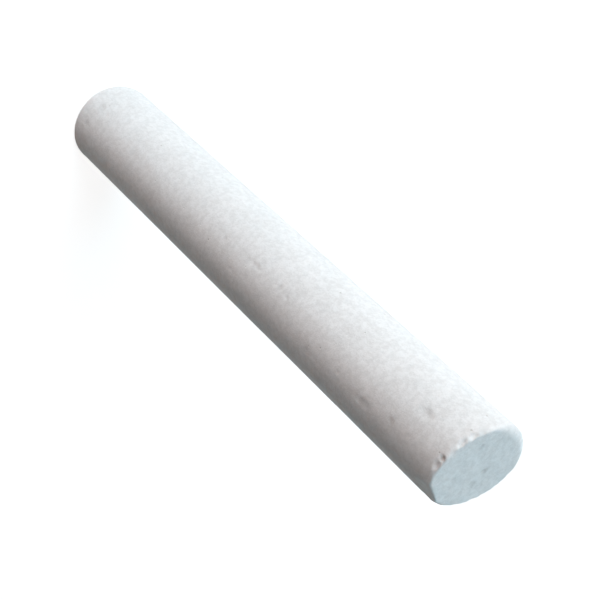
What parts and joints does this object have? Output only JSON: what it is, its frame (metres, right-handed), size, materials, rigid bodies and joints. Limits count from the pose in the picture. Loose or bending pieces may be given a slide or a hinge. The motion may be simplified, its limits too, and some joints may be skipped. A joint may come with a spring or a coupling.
{
  "type": "chalk stick",
  "caption": "Round stick of white board chalk that stands on its plain end, with a slanted, rounded and slightly chipped writing end.",
  "frame": {"origin": "centre of the foot, the stick's plain end, which it stands on", "axes": "+Z along the stick, from the foot to the worn writing end; -X towards the high side of the slanted writing end"},
  "size_m": [0.012, 0.012, 0.08],
  "materials": {
    "chalk": "matte"
  },
  "bodies": {
    "root": {"chalk_stick": "chalk"}
  },
  "joints": []
}
